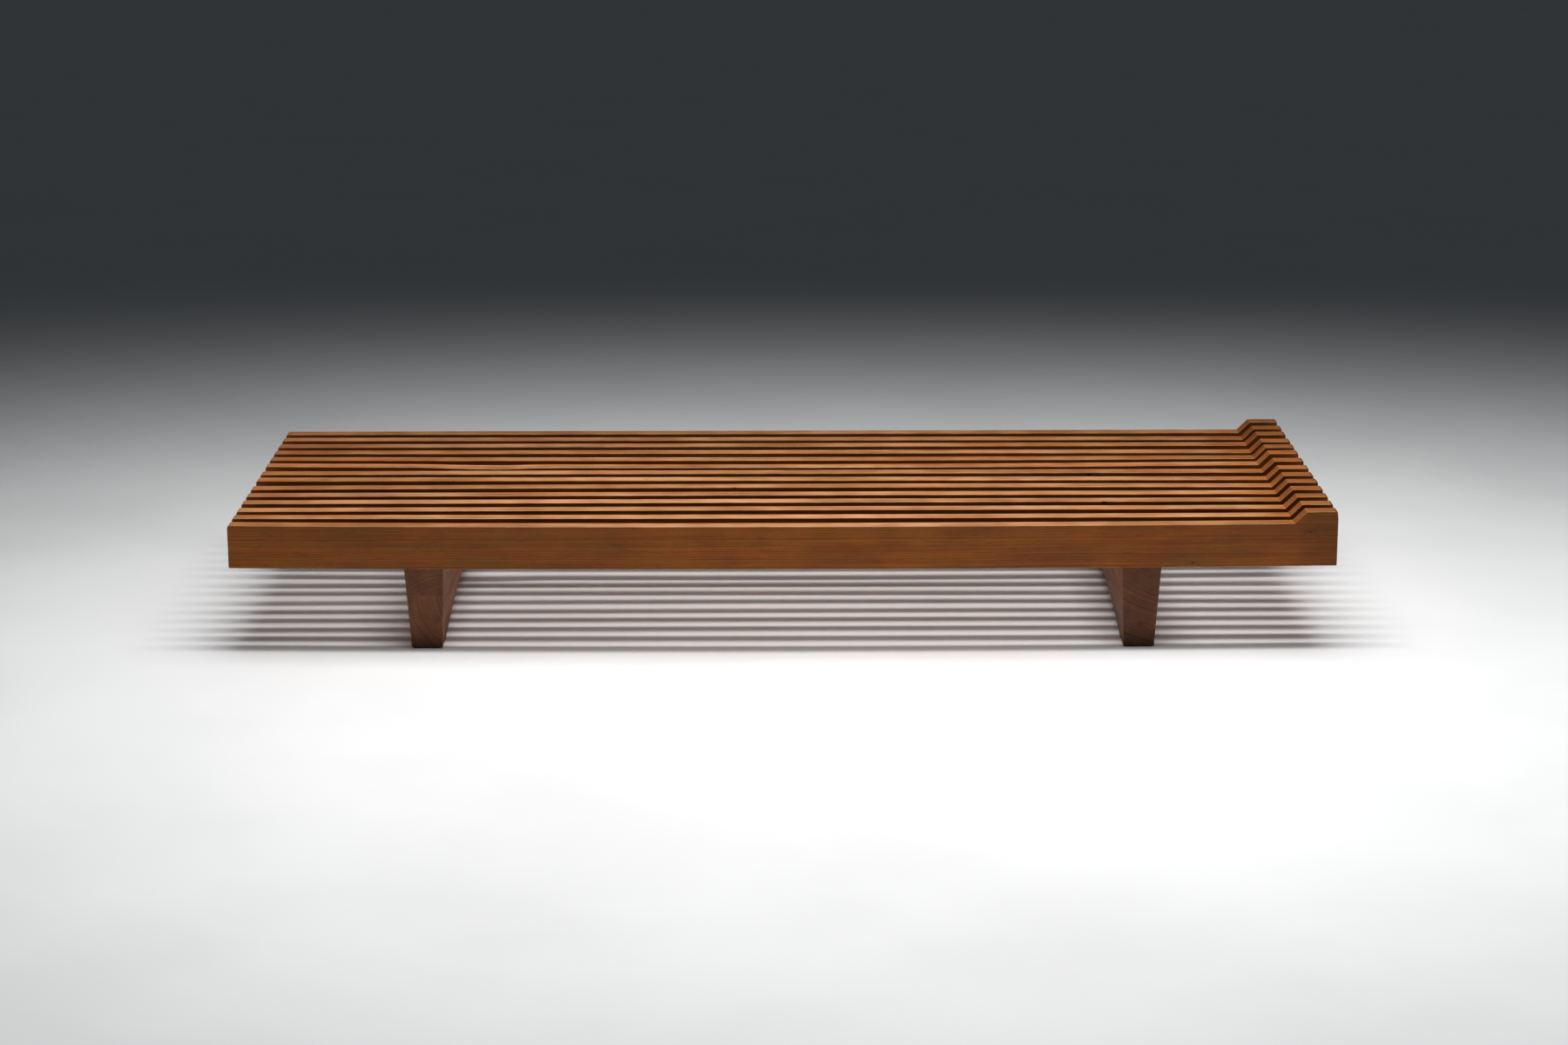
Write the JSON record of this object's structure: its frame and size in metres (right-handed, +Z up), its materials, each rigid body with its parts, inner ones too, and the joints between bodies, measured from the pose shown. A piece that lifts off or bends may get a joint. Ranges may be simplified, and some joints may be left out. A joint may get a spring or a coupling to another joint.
{
  "type": "slatted daybed",
  "caption": "Low wooden daybed of long slats on edge with a raised head-end stop, tenoned across two tapered, arched beams on thin felt pads.",
  "frame": {"origin": "on the floor, under the middle of the overall box", "axes": "+X along the slats towards the raised head end, +Y from the front to the back, +Z up"},
  "size_m": [2, 0.81, 0.2495],
  "materials": {
    "slat_wood": "satin oiled warm brown hardwood",
    "beam_wood": "matt oiled dark brown hardwood",
    "tenon_wood": "plain pale hardwood",
    "pad_felt": "dark pressed felt"
  },
  "bodies": {
    "root": {"slat_01": "slat_wood", "slat_02": "slat_wood", "slat_03": "slat_wood", "slat_04": "slat_wood", "slat_05": "slat_wood", "slat_06": "slat_wood", "slat_07": "slat_wood", "slat_08": "slat_wood", "slat_09": "slat_wood", "slat_10": "slat_wood", "slat_11": "slat_wood", "slat_12": "slat_wood", "slat_13": "slat_wood", "slat_14": "slat_wood", "left_beam_upper": "beam_wood", "left_beam_lower": "beam_wood", "right_beam": "beam_wood", "left_beam_tenons": "tenon_wood", "right_beam_tenons": "tenon_wood", "left_front_pad": "pad_felt", "left_back_pad": "pad_felt", "right_front_pad": "pad_felt", "right_back_pad": "pad_felt"}
  },
  "joints": []
}
